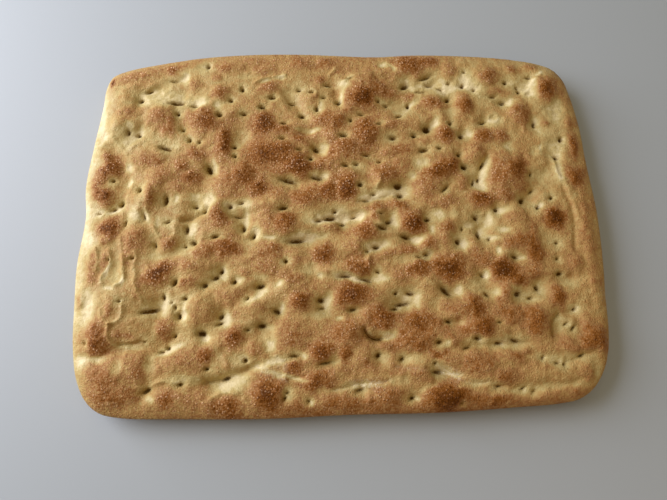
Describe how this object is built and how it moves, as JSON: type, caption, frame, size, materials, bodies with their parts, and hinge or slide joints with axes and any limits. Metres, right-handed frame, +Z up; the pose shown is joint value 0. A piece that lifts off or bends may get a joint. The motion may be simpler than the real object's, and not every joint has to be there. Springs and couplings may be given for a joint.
{
  "type": "focaccia",
  "caption": "Whole oblong tray-baked focaccia: golden dimpled and blistered top, rounded rim, flat underside.",
  "frame": {"origin": "on the flat underside, under the middle of the bread's outline", "axes": "+X along the length to the right, +Y across the width to the back, +Z up"},
  "size_m": [0.3994, 0.2914, 0.0264],
  "materials": {
    "crust": "baked wheat crust: golden tan, reddish brown on the blisters, pale cream in the dimples, with a faint sheen of oil"
  },
  "bodies": {
    "root": {"focaccia": "crust"}
  },
  "joints": []
}
